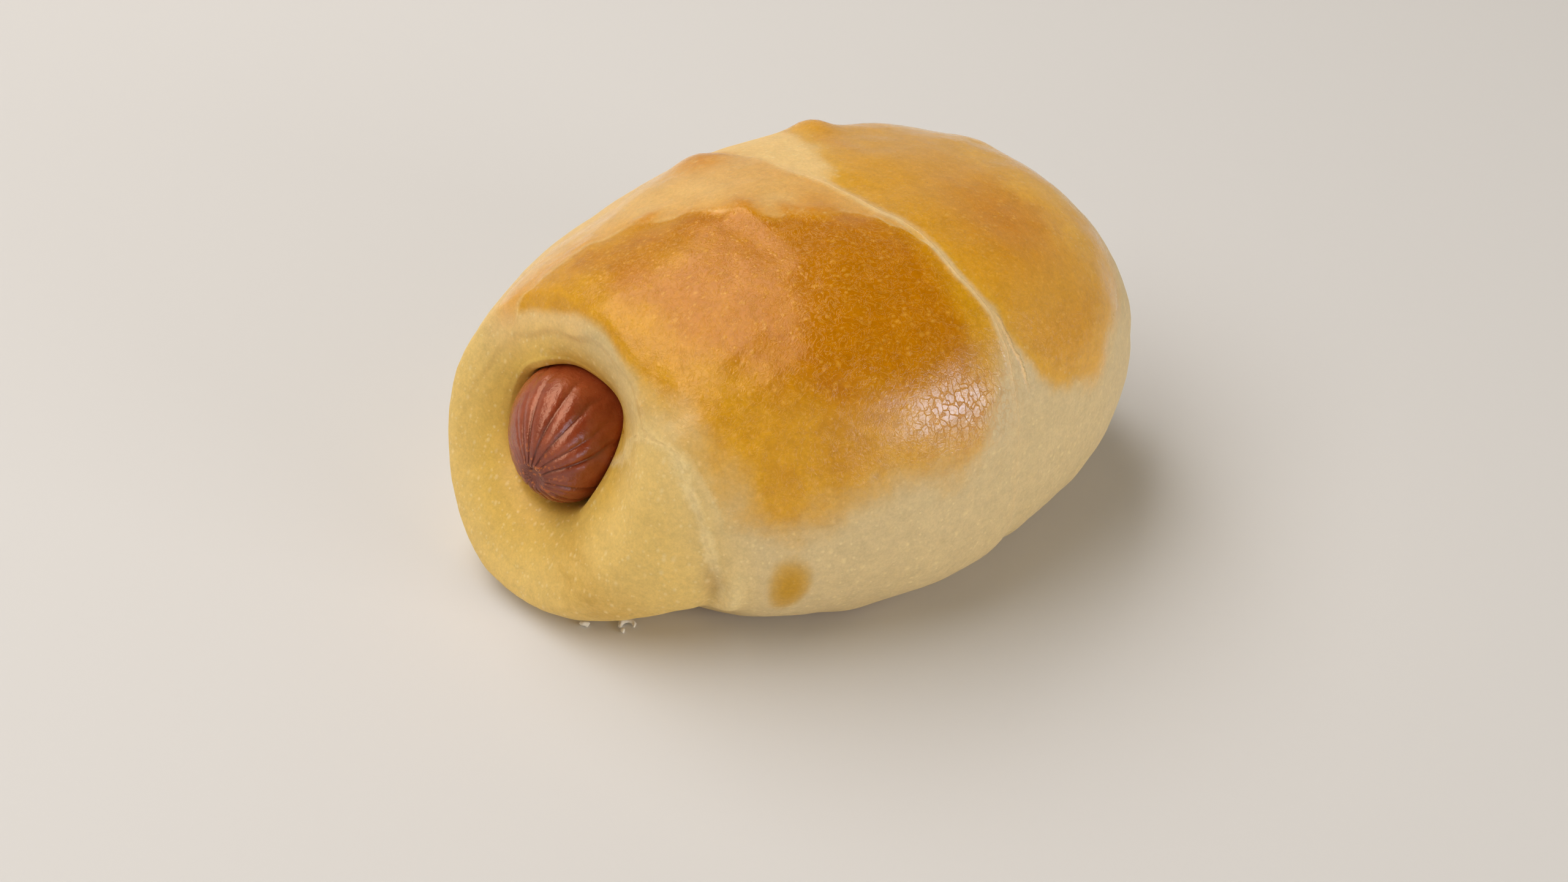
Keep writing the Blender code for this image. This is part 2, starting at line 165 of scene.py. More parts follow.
# Egg wash on the middle coil. Lower edge: height in mm by place along X. Upper edge: angle by place along X.
# Left edge: place along X by angle.
WASH_LOWER = ((-46, 50), (-42, 44), (-40.6, 34), (-38, 31), (-35.3, 29.4), (-30.9, 28.4), (-27, 30.6), (-21.5, 33.3),
              (-16.2, 34.6), (-10.8, 35.9), (-3.4, 34.6), (2.0, 36.1), (5.3, 41), (8.8, 48), (12, 51))
WASH_UPPER = ((-46, 133), (-43, 130), (-40.6, 123), (-35.5, 123), (-28.4, 119), (-20, 108), (-13, 98), (-9, 93),
              (-2, 88), (4.6, 86), (8.4, 82), (10, 76), (12, 66))
WASH_LEFT = ((0, -41.0), (20, -42.0), (40, -44.0), (60, -46.0), (90, -48.0), (126, -49.0), (150, -49.0))
# Egg wash on the far coil: left edge along X by angle, lower edge as height by place along X.
FAR_WASH_START = ((-10, 24.0), (20, 20.0), (34, 17.1), (47, 16.0), (63, 15.4), (77, 15.0), (84, 13.8), (89, 14.6),
                  (96, 18.6), (104, 22.4), (113, 24.6), (125, 27))
FAR_WASH_LOWER = ((16, 49), (18.4, 46.5), (24.7, 40), (32.9, 37), (40, 38), (48, 39.4), (60, 44))
# Up to this angle the wash's lower edges count.
SIDE_TOP = 95.0
# Millimetres of crust to a degree over the top, and a distance that stands for far inside a zone.
CRUST_MM_PER_DEGREE = 0.62
FAR_INSIDE = 30.0
# The drip of egg wash on the side, in mm. It widens upwards.
DRIP_X, DRIP_LEVEL, DRIP_HALF_WIDTH, DRIP_HALF_HEIGHT, DRIP_FLARE = -31.6, 18.8, 3.3, 7.0, 0.10

# Soft noise: wave length in mm and seed. For the unevenness, height in mm comes first.
WOBBLE, DRIFT, FLAP_RIPPLE, LAP_RIPPLE = (9.0, 3), (16.0, 5), (7.0, 11), (3.4, 17)
CRUST_UNEVENNESS = ((0.26, 22.0, 7), (0.07, 8.0, 8), (0.022, 3.2, 9))
SKIN_UNEVENNESS = ((0.025, 1.8, 21), (0.05, 5.0, 22))
CRUMB_RIPPLE = 1.1

# What the crust's material reads from the mesh.
CRUST_ATTRIBUTES = ("turn", "wash", "brown", "above", "far_wash", "far_brown", "drip", "stain", "blister", "crackle",
                    "crown", "hole", "far_off", "branch_off", "near_off", "pale", "dent")
# Soft dots in the crust: cells per metre, the random number over which a cell has one, smallest size and spread.
LARGE_FLECKS = (520.0, 0.50, 0.16, 0.30)
SMALL_FLECKS = (900.0, 0.55, 0.20, 0.26)
PINHOLES = (190.0, 0.62, 0.020, 0.025)
# Depth of the materials' bumps, in metres.
WRINKLE_DEPTH, PORE_DEPTH, CRACK_DEPTH = 0.26 * MM, 0.05 * MM, 0.07 * MM
THREAD_DEPTH, FLECK_DEPTH, SEAM_DEPTH = 0.04 * MM, 0.05 * MM, 0.22 * MM
SKIN_WRINKLE_DEPTH, SKIN_GRAIN_DEPTH = 0.30 * MM, 0.13 * MM
# The shaders that new materials and skies have, and a Mix node's colour sockets: share, first, second and result.
SURFACE, SKY = "Principled BSDF", "Background"
MIX_SHARE, MIX_FIRST, MIX_SECOND, MIX_RESULT = 0, 6, 7, 2
# The lightest tone of a crumb, as a linear colour.
DRY_CRUMB_COLOUR = (0.95, 0.92, 0.86, 1.0)

# Studio lights: name, azimuth from the view direction (90 is to the right), elevation, distance in metres,
# size in metres, turn about its own axis in degrees, power in watts, tint, and whether it shows as a reflection.
# The soft lights only light the surface, and the card and the window only show in its gloss.
LIGHTS = (("key", -78.0, 63.0, 1.0, (1.8, 0.7), 0.0, 12.2, (1.0, 0.96, 0.91), False),
          ("fill", 126.0, 11.0, 0.9, (0.40, 0.30), 0.0, 2.4, (1.0, 0.97, 0.93), False),
          ("card", -92.3, 61.4, 1.0, (1.96, 0.70), -14.0, 13.8, (1.0, 0.67, 0.45), True),
          ("window", 126.0, 6.0, 0.9, (0.92, 0.70), 0.0, 6.0, (0.60, 0.74, 1.0), True))
LIGHT_TARGET = Vector((0.0, 0.0, 0.03))
# The sky's strength fades from the horizon to the zenith between two heights of its unit sphere.
SKY_COLOUR = (1.0, 0.89, 0.71, 1.0)
SKY_FADE = (0.30, 0.80)
HORIZON_LIGHT = 0.60
ZENITH_LIGHT = 0.02
FLOOR_HALF = 6.0
# The point on the table that the camera looks at, and its lens.
AIM_POINT = Vector((13.51 * MM, 17.94 * MM, 0.0)) - Vector(BOX_MIDDLE.tolist())
PHOTO_WIDTH_PX = 2560.0
SENSOR_MM = 36.0
CLIP_NEAR, CLIP_FAR = 0.01, 20.0


def signed_power(value, power):
    return np.sign(value) * np.abs(value) ** power


def bell(value):
    """A smooth bump: 1 at 0, near 0 past 2."""
    return np.exp(-value * value)


def step(value):
    """A smooth step from 0 below -1 to 1 above 1."""
    share = np.clip(value * 0.5 + 0.5, 0.0, 1.0)
    return share * share * (3.0 - 2.0 * share)


def rise(value, low, high):
    """A smooth step from 0 at low to 1 at high."""
    return step((value - low) / (high - low) * 2.0 - 1.0)


def window(value, low, full_from, full_to, high):
    """A smooth rise from 0 at low to 1, and back to 0 at high."""
    return rise(value, low, full_from) * (1.0 - rise(value, full_to, high))


def turn_between(angle, middle):
    """Degrees from middle to angle the short way round."""
    return (np.degrees(angle) - middle + 180.0) % 360.0 - 180.0


def from_pairs(pairs, value):
    """The second number of the pairs, straight between them, at a value of the first."""
    at, result = zip(*pairs)
    return np.interp(value, at, result)


def ripples(point, length_mm, seed, count=24):
    """Soft noise between about -1 and 1: a sum of sine waves of one length in seeded random directions."""
    draw = np.random.default_rng(seed)
    way = draw.normal(size=(count, 3))
    way = way / np.linalg.norm(way, axis=1, keepdims=True) * draw.uniform(0.7, 1.3, (count, 1))
    phase = draw.uniform(0.0, 2.0 * np.pi, count)
    wave = np.sin(point @ way.T * (2.0 * np.pi / (length_mm * MM)) + phase)
    return wave.sum(axis=-1) * math.sqrt(2.0 / count) * 0.7


def unevenness(point, layers):
    """A sum of ripples in mm, from layers of height, wave length and seed."""
    return sum(tall * ripples(point, length_mm, seed) for tall, length_mm, seed in layers)


def patches(table, x, angle):
    """A sum of soft oval patches: each is its strength times a bell along X and a bell round the bun."""
    total = np.zeros_like(x)
    for place, middle, strength, long, wide in table:
        total = total + strength * bell((x - place) / long) * bell(turn_between(angle, middle) / wide)
    return total


def sausage_centre(x):
    """Y and Z of the sausage's centre line at x: an arc in plan, almost level."""
    return SAUSAGE_MIDDLE_Y - SAUSAGE_CURVE * x * x, SAUSAGE_LEVEL + SAUSAGE_LEVEL_RISE * x


def off_centre_line(x, radius, angle):
    """The point at a radius and an angle round the sausage's centre line."""
    centre_y, centre_z = sausage_centre(x)
    return np.stack([x, centre_y - radius * np.cos(angle), centre_z + radius * np.sin(angle)], axis=-1)


def middle_section(angle):
    """Y and Z of the widest cross section: a rounded oval whose lower side is cut flat by the table."""
    power = np.where(np.sin(angle) >= 0.0, 2.0 / ROUND_ABOVE, 2.0 / ROUND_BELOW)
    across = signed_power(np.cos(angle), power)
    up = signed_power(np.sin(angle), power)
    tall = np.where(up >= 0.0, HEIGHT - WIDEST_LEVEL, WIDEST_LEVEL + UNDERSIDE_SINK)
    return -HALF_WIDTH * across, WIDEST_LEVEL + tall * up


def ring_point(end, angle, radius):
    """A point of the leaning ring at one end, as X, Y, Z."""
    x = end["side"] * (end["reach"] - end["lean"] * radius * np.sin(angle))
    return x, end["centre_y"] - radius * np.cos(angle), end["centre_z"] + radius * np.sin(angle)


def softened(share, power):
    """A power of a share of the reach, made smooth where the share is 0 and still 1 where it is 1."""
    low = SOFT_MIDDLE ** power
    return ((share ** 2 + SOFT_MIDDLE ** 2) ** (power / 2) - low) / ((1 + SOFT_MIDDLE ** 2) ** (power / 2) - low)


def crust(end, travel, angle):
    """Outer crust from an end's ring (travel 0) to the middle of the bun (travel 90 degrees)."""
    ring_x, ring_y, ring_z = ring_point(end, angle, end["radius"])
    wide_y, wide_z = middle_section(angle)
    share = np.cos(travel)
    grown = np.maximum(1.0 - softened(share, end["fall"]), 0.0) ** end["blunt"]
    x = ring_x * share
    y = ring_y + (wide_y - ring_y) * grown - SWEEP * (x / SWEEP_SPAN) ** 2
    return np.stack([x, y, ring_z + (wide_z - ring_z) * grown], axis=-1)


def dish_depth(end, angle):
    """How deep the hole's edge lies below the ring's plane."""
    deep = DISH_DEPTH[end["side"]] + np.zeros_like(angle)
    if end["side"] < 0.0:
        for more, middle, wide in DISH_SWELLS:
            deep = deep + more * bell(turn_between(angle, middle) / wide)
    return deep


def dish_width(end, angle):
    """How fast the dish fades from the hole's edge outwards."""
    more, middle, wide = FUNNEL
    near = 1.0 if end["side"] < 0.0 else 0.0
    return DISH_WIDTH + near * more * bell(turn_between(angle, middle) / wide)


def dish(end, inward, angle):
    """The crust from an end's ring (inward 0) down to the hole's edge (inward 1)."""
    radius = end["radius"] + (HOLE_RADIUS - end["radius"]) * inward
    x, y, z = ring_point(end, angle, radius)
    deep = dish_depth(end, angle)
    width = dish_width(end, angle)
    sunk = deep * np.exp(-(radius - HOLE_RADIUS) / width)
    sunk = sunk - deep * np.exp(-(end["radius"] - HOLE_RADIUS) / width) * (1.0 - inward)
    x = x - end["side"] * sunk
    hole_y, hole_z = sausage_centre(x)
    shift = inward ** 2
    y = y - SWEEP * (x / SWEEP_SPAN) ** 2 * (1.0 - shift) + (hole_y - end["centre_y"]) * shift
    z = z + (hole_z - end["centre_z"]) * shift
    return np.stack([x, y, z], axis=-1)


def bore(along, angle):
    """The hole's wall between the two dishes, a gap wider than the sausage."""
    first = dish(FAR_END, np.ones_like(angle), angle)[..., 0]
    last = dish(NEAR_END, np.ones_like(angle), angle)[..., 0]
    return off_centre_line(first + (last - first) * along, HOLE_RADIUS, angle)


def bun_surface(column, angle):
    """Point for a column of the bun's profile, counted from the near ring over the crust and back by the hole."""
    to_far_dish = BUN_OUTER
    to_bore = to_far_dish + BUN_FAR_DISH
    to_near_dish = to_bore + BUN_BORE
    travel = np.pi * np.clip(column, 0, BUN_OUTER) / BUN_OUTER
    near = crust(NEAR_END, np.minimum(travel, np.pi / 2), angle)
    far = crust(FAR_END, np.minimum(np.pi - travel, np.pi / 2), angle)
    outer = np.where((travel <= np.pi / 2)[..., None], near, far)
    far_dish = dish(FAR_END, np.clip((column - to_far_dish) / BUN_FAR_DISH, 0, 1), angle)
    wall = bore(np.clip((column - to_bore) / BUN_BORE, 0, 1), angle)
    near_dish = dish(NEAR_END, 1.0 - np.clip((column - to_near_dish) / BUN_NEAR_DISH, 0, 1), angle)
    stages = [(column <= last)[..., None] for last in (to_far_dish, to_bore, to_near_dish)]
    return np.select(stages, [outer, far_dish, wall], near_dish)


def rounded_surface(column, angle):
    """The bun's surface with the joins of its profile rounded, except in the hole and at its edges."""
    into_far = (column - BUN_OUTER) / BUN_FAR_DISH
    into_near = (BUN_COLUMNS - column) / BUN_NEAR_DISH
    loose = np.where(into_far <= 0.0, 1.0, np.maximum(1.0 - into_far, np.maximum(1.0 - into_near, 0.0)))
    point = np.zeros(column.shape + (3,))
    for offset, weight in ROUNDING:
        point = point + weight * bun_surface((column + offset * loose) % BUN_COLUMNS, angle)
    return point


def grid_normals(points):
    """Unit normals of a closed grid of points, from its neighbours both ways."""
    along = np.roll(points, -1, axis=1) - np.roll(points, 1, axis=1)
    around = np.roll(points, -1, axis=0) - np.roll(points, 1, axis=0)
    normal = np.cross(along, around)
    return normal / np.linalg.norm(normal, axis=-1, keepdims=True)


def profile_columns(count):
    """Places of the fine columns: closer together on the near face and at the seams, far apart in the hole."""
    place = np.linspace(0.0, BUN_COLUMNS, 4001)
    near_dish = place > BUN_COLUMNS - BUN_NEAR_DISH - DISH_MARGIN
    in_bore = (place > BUN_OUTER + BUN_FAR_DISH + DISH_MARGIN) & (place < BUN_COLUMNS - BUN_NEAR_DISH - DISH_MARGIN)
    weight = np.where(in_bore, 0.25, 1.0)
    for more, middle, wide in DENSER:
        weight = weight + more * bell((place - middle) / wide)
    weight = weight + 0.9 * near_dish + 0.5 * ((place > BUN_OUTER) & ~in_bore)
    total = np.concatenate([[0.0], np.cumsum((weight[1:] + weight[:-1]) / 2.0)])
    return np.interp(np.arange(count) / count * total[-1], total, place)


def seam_profile(off_mm, proud_mm, line_mm):
    """Height across a seam: the side below it stands proud, and a fine raised lip and groove mark the line."""
    level = -proud_mm * np.tanh(off_mm / 1.1) * np.exp(-np.abs(off_mm) / 8.0)
    return level + line_mm * (bell(off_mm / 0.55) - 0.45 * bell((off_mm - 1.3) / 0.7))


def distance_from_ring(end, point):
    """Distance in mm from the middle of an end's ring, seen along X."""
    return np.hypot(point[..., 1] - end["centre_y"], point[..., 2] - end["centre_z"]) / MM


def crust_fields(point, angle):
    """Where each vertex lies in the crust's pattern: distances in mm, positive inside a zone, and shares of 0 to 1."""
    x = point[..., 0] / MM
    turn = turn_between(angle, 90.0) + 90.0
    from_ring = distance_from_ring(NEAR_END, point)
    fields = {key: patches(table, x, angle) for key, table in PATCHES.items()}
    fields["far_brown"] = fields["far_brown"] + FAR_BROWN_EVEN
    fields.update(x=x, z=point[..., 2] / MM, turn=turn, wobble=ripples(point, *WOBBLE), drift=ripples(point, *DRIFT))
    fields["hole"] = np.where(x < 0.0, from_ring, distance_from_ring(FAR_END, point)) - SAUSAGE_RADIUS / MM
    fields["flap_off"] = from_ring - from_pairs(FLAP_EDGE, turn)
    for key, line in (("far_off", FAR_SEAM), ("branch_off", FAR_BRANCH), ("near_off", NEAR_SEAM)):
        fields[key] = x - from_pairs(line, turn)
    # The top, where the dough is golden and also lightened as painted light falling on it.
    fields["crown"] = window(turn, 74.0, 92.0, 135.0, 160.0)
    wash_middle_coil(fields)
    wash_far_coil(fields)
    return fields


def wash_middle_coil(fields):
    """Egg wash on the middle coil: how far inside its edges, how browned, the thin wash above it and its blisters."""
    x, z, turn, wobble, drift = (fields[key] for key in ("x", "z", "turn", "wobble", "drift"))
    to_seam = -fields["far_off"]
    below = np.where(turn < SIDE_TOP, z - from_pairs(WASH_LOWER, x) + 0.9 * wobble, FAR_INSIDE)
    lap = (from_pairs(WASH_UPPER, x) - turn) * CRUST_MM_PER_DEGREE + 0.7 * wobble
    on_face = (x < 0.0) & (turn > 24.0) & (turn < 200.0)
    flap = np.where(on_face, fields["flap_off"], FAR_INSIDE) - from_pairs(FLAP_MARGIN, turn)
    left = np.minimum(x - from_pairs(WASH_LEFT, turn), flap * 1.2) + 0.8 * wobble
    # The wash ends sharply at the far seam and under the lap, and softly elsewhere.
    low_down = 1.0 - rise(turn, 12.0, 32.0)
    seam_side = (to_seam - 0.5 - 1.2 * low_down) * (4.6 - 3.8 * low_down)
    lap_side = (lap - 0.4) * (1.7 + 2.4 * rise(x, -24.0, -14.0))
    left_side = left * (0.36 + 1.01 * rise(turn, 46.0, 74.0))
    fields["wash"] = np.minimum.reduce([0.32 * below, lap_side, left_side, seam_side])
    # Browning: full in the middle of the top, little low down and near the shown end.
    shaded = 1.0 - rise(turn, 45.0, 75.0)
    low_part = rise(below + 1.3 * drift, 4.0, 24.0)
    left_part = rise(left + 2.0 * drift, 2.0 + 5.0 * shaded, 17.0 + 7.0 * shaded)
    lap_part = rise(lap, 0.0, 9.0 - 6.5 * rise(x, -22.0, -12.0))
    fields["brown"] = low_part * (0.22 + 0.78 * left_part) * (0.50 + 0.50 * lap_part)
    # Above the lap the wash is thin and fades over the saddle, with a streak along the far seam.
    saddle = np.exp(-np.maximum(-lap, 0.0) / 6.5) * 0.70 + 0.34 + 0.10 * drift
    saddle = saddle * rise(-lap, -1.5, 0.6) * rise(to_seam, 0.4, 1.6) * (1.0 - rise(turn, 136.0, 152.0))
    streak = np.exp(-np.maximum(to_seam, 0.0) / 5.0) * rise(to_seam, -0.5, 1.0)
    fields["above"] = saddle * rise(left, -3.0, 6.0) + 0.45 * streak * window(turn, 86.0, 93.0, 122.0, 134.0)
    rim = bell(lap - 0.2) * window(x, -26.0, -16.0, 8.0, 12.0) * rise(turn, 60.0, 76.0)
    fields["blister"] = np.minimum(fields["blister"] + (0.45 + 0.35 * wobble) * rim, 1.0)
    drip_wide = DRIP_HALF_WIDTH + DRIP_FLARE * (z - DRIP_LEVEL)
    drip = 2.0 * (1.0 - np.hypot((x - DRIP_X) / drip_wide, (z - DRIP_LEVEL) / DRIP_HALF_HEIGHT))
    fields["drip"] = np.where(turn < 30.0, drip, -9.0)
    fields["lap"] = lap


def wash_far_coil(fields):
    """Egg wash on the far coil: it fades in from the seam, and out low down, at the back and at the far end."""
    x, z, turn, wobble, drift = (fields[key] for key in ("x", "z", "turn", "wobble", "drift"))
    start = x - from_pairs(FAR_WASH_START, turn) + 0.8 * wobble
    soft = 4.0 * rise(turn, 80.0, 92.0)
    front = z - from_pairs(FAR_WASH_LOWER, x)
    back = (158.0 - turn) * 0.6 + 3.0 * drift
    low = np.where(turn < SIDE_TOP, front, back) + 1.5 * drift
    wash = rise(start, -4.4 - soft, 0.6 + 0.3 * soft) * rise(low, -5.0, 11.0)
    fields["far_wash"] = wash * rise(57.0 - x + 2.0 * drift, -12.0, 24.0)


def crust_height(point, angle, fields, relief):
    """How far the fine crust stands out from the plain form, in metres."""
    turn, x = fields["turn"], fields["x"]
    visible = 0.35 + 0.65 * bell((turn - 40.0) / 75.0)
    height = patches(LUMPS, x, angle)
    height = height + visible * seam_profile(fields["far_off"], FAR_SEAM_STEP, FAR_SEAM_LIP)
    low = step((27.0 - turn) / 6.0) * bell(turn_between(angle, -15.0) / 60.0)
    height = height - low * seam_profile(fields["near_off"], NEAR_SEAM_STEP, NEAR_SEAM_LIP)
    on_face = (x < -34.0) * step((turn - 34.0) / 10.0) * step((222.0 - turn) / 20.0)
    flap = fields["flap_off"] + 0.5 * ripples(point, *FLAP_RIPPLE)
    edge = FLAP_STEP * np.tanh(flap / 0.9) * np.exp(-np.abs(flap) / 5.0)
    height = height + on_face * edge * (0.4 + 0.6 * bell((turn - 105.0) / 32.0))
    lap = bell(fields["lap"] / 2.2) * step((x + 30.0) / 8.0) * step((14.0 - x) / 3.0)
    height = height + LAP_ROUGHNESS * lap * ripples(point, *LAP_RIPPLE) + BLISTER_HEIGHT * fields["blister"]
    height = height + unevenness(point, CRUST_UNEVENNESS) * relief
    into_crust = step((fields["hole"] - 2.0) / 2.0)
    return height * MM * into_crust


def grid_faces(rounds, columns, open_ended=False):
    """Quads of a grid that closes on itself round, and along too unless it is open-ended."""
    row, column = np.meshgrid(np.arange(rounds), np.arange(columns - open_ended), indexing="ij")
    next_row, next_column = (row + 1) % rounds, (column + 1) % columns
    corners = [row * columns + column, row * columns + next_column, next_row * columns + next_column,
               next_row * columns + column]
    return np.stack(corners, axis=-1).reshape(-1, 4)


def enclosed(points, faces):
    """Six times the volume inside the quads, positive when they point outwards."""
    corner = points.reshape(-1, 3)[faces]
    total = 0.0
    for first, second in ((1, 2), (2, 3)):
        total += np.einsum("ij,ij->i", corner[:, 0], np.cross(corner[:, first], corner[:, second])).sum()
    return total


def new_piece(name, points, faces, values):
    """A smooth mesh object from points and quads turned outwards, moved to the solids' place, with attributes."""
    placed = points - BOX_MIDDLE
    outward = faces if enclosed(placed, faces) > 0.0 else faces[:, ::-1]
    mesh = bpy.data.meshes.new(name)
    mesh.from_pydata(placed.reshape(-1, 3).tolist(), [], outward.tolist())
    for key, value in values.items():
        layer = mesh.attributes.new(key, "FLOAT", "POINT")
        layer.data.foreach_set("value", value.astype(np.float32).ravel())
    mesh.polygons.foreach_set("use_smooth", np.ones(len(mesh.polygons), bool))
    mesh.validate()
    mesh.update()
    obj = bpy.data.objects.new(name, mesh)
    bpy.context.scene.collection.objects.link(obj)
    return obj


def capped_piece(name, points, values):
    """A piece from rings that shrink to one point at each end, where the doubles are merged."""
    obj = new_piece(name, points, grid_faces(*points.shape[:2], open_ended=True), values)
    work = bmesh.new()
    work.from_mesh(obj.data)
    bmesh.ops.remove_doubles(work, verts=work.verts, dist=1e-7)
    work.to_mesh(obj.data)
    work.free()
    obj.data.update()
    return obj


def crust_mesh(name, rounds, columns, relief):
    """The bun: its rounded surface on a fine grid, raised along its normal by the fine relief."""
    angle, column = np.meshgrid(np.arange(rounds) * 2.0 * np.pi / rounds, profile_columns(columns), indexing="ij")
    points = rounded_surface(column, angle)
    normals = grid_normals(points)
    faces = grid_faces(rounds, columns)
    if enclosed(points, faces) < 0.0:
        normals = -normals
    fields = crust_fields(points, angle)
    # The hole's wall stays plain, so that the gap to the sausage stays even.
    inner = (column > BUN_OUTER + BUN_FAR_DISH - 1) & (column < BUN_COLUMNS - BUN_NEAR_DISH + 1)
    raised = crust_height(points, angle, fields, relief) * ~inner
    points = points + normals * raised[..., None]
    points[..., 2] = np.maximum(points[..., 2], 0.0)
    return new_piece(name, points, faces, {key: fields[key] for key in CRUST_ATTRIBUTES})


def fold_depth(angle, walk, shift):
    """Depth of the skin folds in mm: V-shaped furrows that run out of the pucker and drift round as they go."""
    depth = np.zeros_like(angle)
    for start, finish, deep, wide, begin, end in FOLDS:
        share = np.clip((walk - begin) / (end - begin), 0.0, 1.0)
        off = turn_between(angle, start + (finish - start) * share + shift)
        shown = step((walk - begin * 0.6) / 0.9) * step((end - walk) / (0.35 * end))
        furrow = np.exp(-np.abs(off / (0.50 * wide)) ** 1.5)
        lips = 0.12 * bell((np.abs(off) - 1.35 * wide) / (0.8 * wide))
        depth = depth + deep * shown * (furrow - lips)
    return depth


def sausage_mesh(name, rounds, folds):
    """The sausage: a capsule on a bent centre line, with folds and a pucker at each end."""
    turn = (np.arange(CAP_RINGS) + 0.5) / CAP_RINGS
    turn = np.concatenate([[0.0], turn ** 1.1 * np.pi / 2.0])
    near_x = -SAUSAGE_TIP[-1.0] + SAUSAGE_CAP * (1.0 - np.cos(turn))
    far_x = SAUSAGE_TIP[1.0] - SAUSAGE_CAP * (1.0 - np.cos(turn[::-1]))
    even = np.linspace(near_x[-1], far_x[0], BODY_RINGS + 2)[1:-1]
    x = np.concatenate([near_x, even, far_x])
    radius = np.concatenate([np.sin(turn), np.ones(BODY_RINGS), np.sin(turn[::-1])]) * SAUSAGE_RADIUS
    angle, along = np.meshgrid(np.arange(rounds) * 2.0 * np.pi / rounds, np.arange(len(x)), indexing="ij")
    x, radius = x[along], radius[along]
    near = x < 0.0
    tip_mm = np.where(near, x + SAUSAGE_TIP[-1.0], SAUSAGE_TIP[1.0] - x) / MM
    on_cap = np.clip(1.0 - tip_mm * MM / SAUSAGE_CAP, 0.0, 1.0)
    front = radius / MM * np.cos(angle) - PUCKER_OFF[0] * on_cap
    up = radius / MM * np.sin(angle) - PUCKER_OFF[1] * on_cap
    from_pucker = np.hypot(front, up)
    walk = from_pucker + np.maximum(tip_mm - SAUSAGE_CAP / MM, 0.0)
    depth = fold_depth(np.arctan2(up, front), walk, np.where(near, 0.0, FAR_END_TURN)) * folds
    depth = depth * np.minimum(from_pucker / 2.0, 1.0)
    plain = np.stack([x, radius * np.cos(angle), radius * np.sin(angle)], axis=-1)
    fine = np.minimum(unevenness(plain, SKIN_UNEVENNESS), 0.04)
    sunk = PUCKER_DEPTH_MM * bell(from_pucker / PUCKER_RADIUS_MM) - 0.25 * bell(from_pucker - 3.0)
    skin = radius - (depth + fine) * MM * np.minimum(radius / MM / 2.0, 1.0)
    skin = np.clip(skin, 0.0, SAUSAGE_RADIUS)
    x = x + np.where(near, 1.0, -1.0) * sunk * MM
    # The folds' depth also sets their painted shade.
    return capped_piece(name, off_centre_line(x, skin, angle), {"fold": depth, "tip": walk})


def crumb_mesh(name, place, heading, bend, length, thick, seed):
    """A crumb: a bar of round section along a level arc, thin at both ends, roughened by ripples."""
    around = np.arange(CRUMB_ROUNDS) * 2.0 * np.pi / CRUMB_ROUNDS
    turn, along = np.meshgrid(around, np.linspace(0.0, 1.0, CRUMB_RINGS), indexing="ij")
    swing = (along - 0.5) * math.radians(bend)
    bow = length / math.radians(bend)
    spine = np.stack([bow * np.sin(swing), bow * (1.0 - np.cos(swing)), np.full_like(swing, thick)], axis=-1)
    outward = np.stack([np.sin(swing), -np.cos(swing), np.zeros_like(swing)], axis=-1)
    section = np.cos(turn)[..., None] * outward + np.sin(turn)[..., None] * np.array([0.0, 0.0, 1.0])
    round_ends = np.sqrt(np.maximum(np.sin(np.pi * along), 0.0))
    rough = 1.0 + 0.30 * ripples((spine + section) * MM, CRUMB_RIPPLE, seed)
    local = spine + section * (thick * round_ends * rough)[..., None]
    way = math.radians(heading)
    x = place[0] + local[..., 0] * math.cos(way) - local[..., 1] * math.sin(way)
    y = place[1] + local[..., 0] * math.sin(way) + local[..., 1] * math.cos(way)
    return capped_piece(name, np.stack([x, y, np.maximum(local[..., 2], 0.0)], axis=-1) * MM, {})


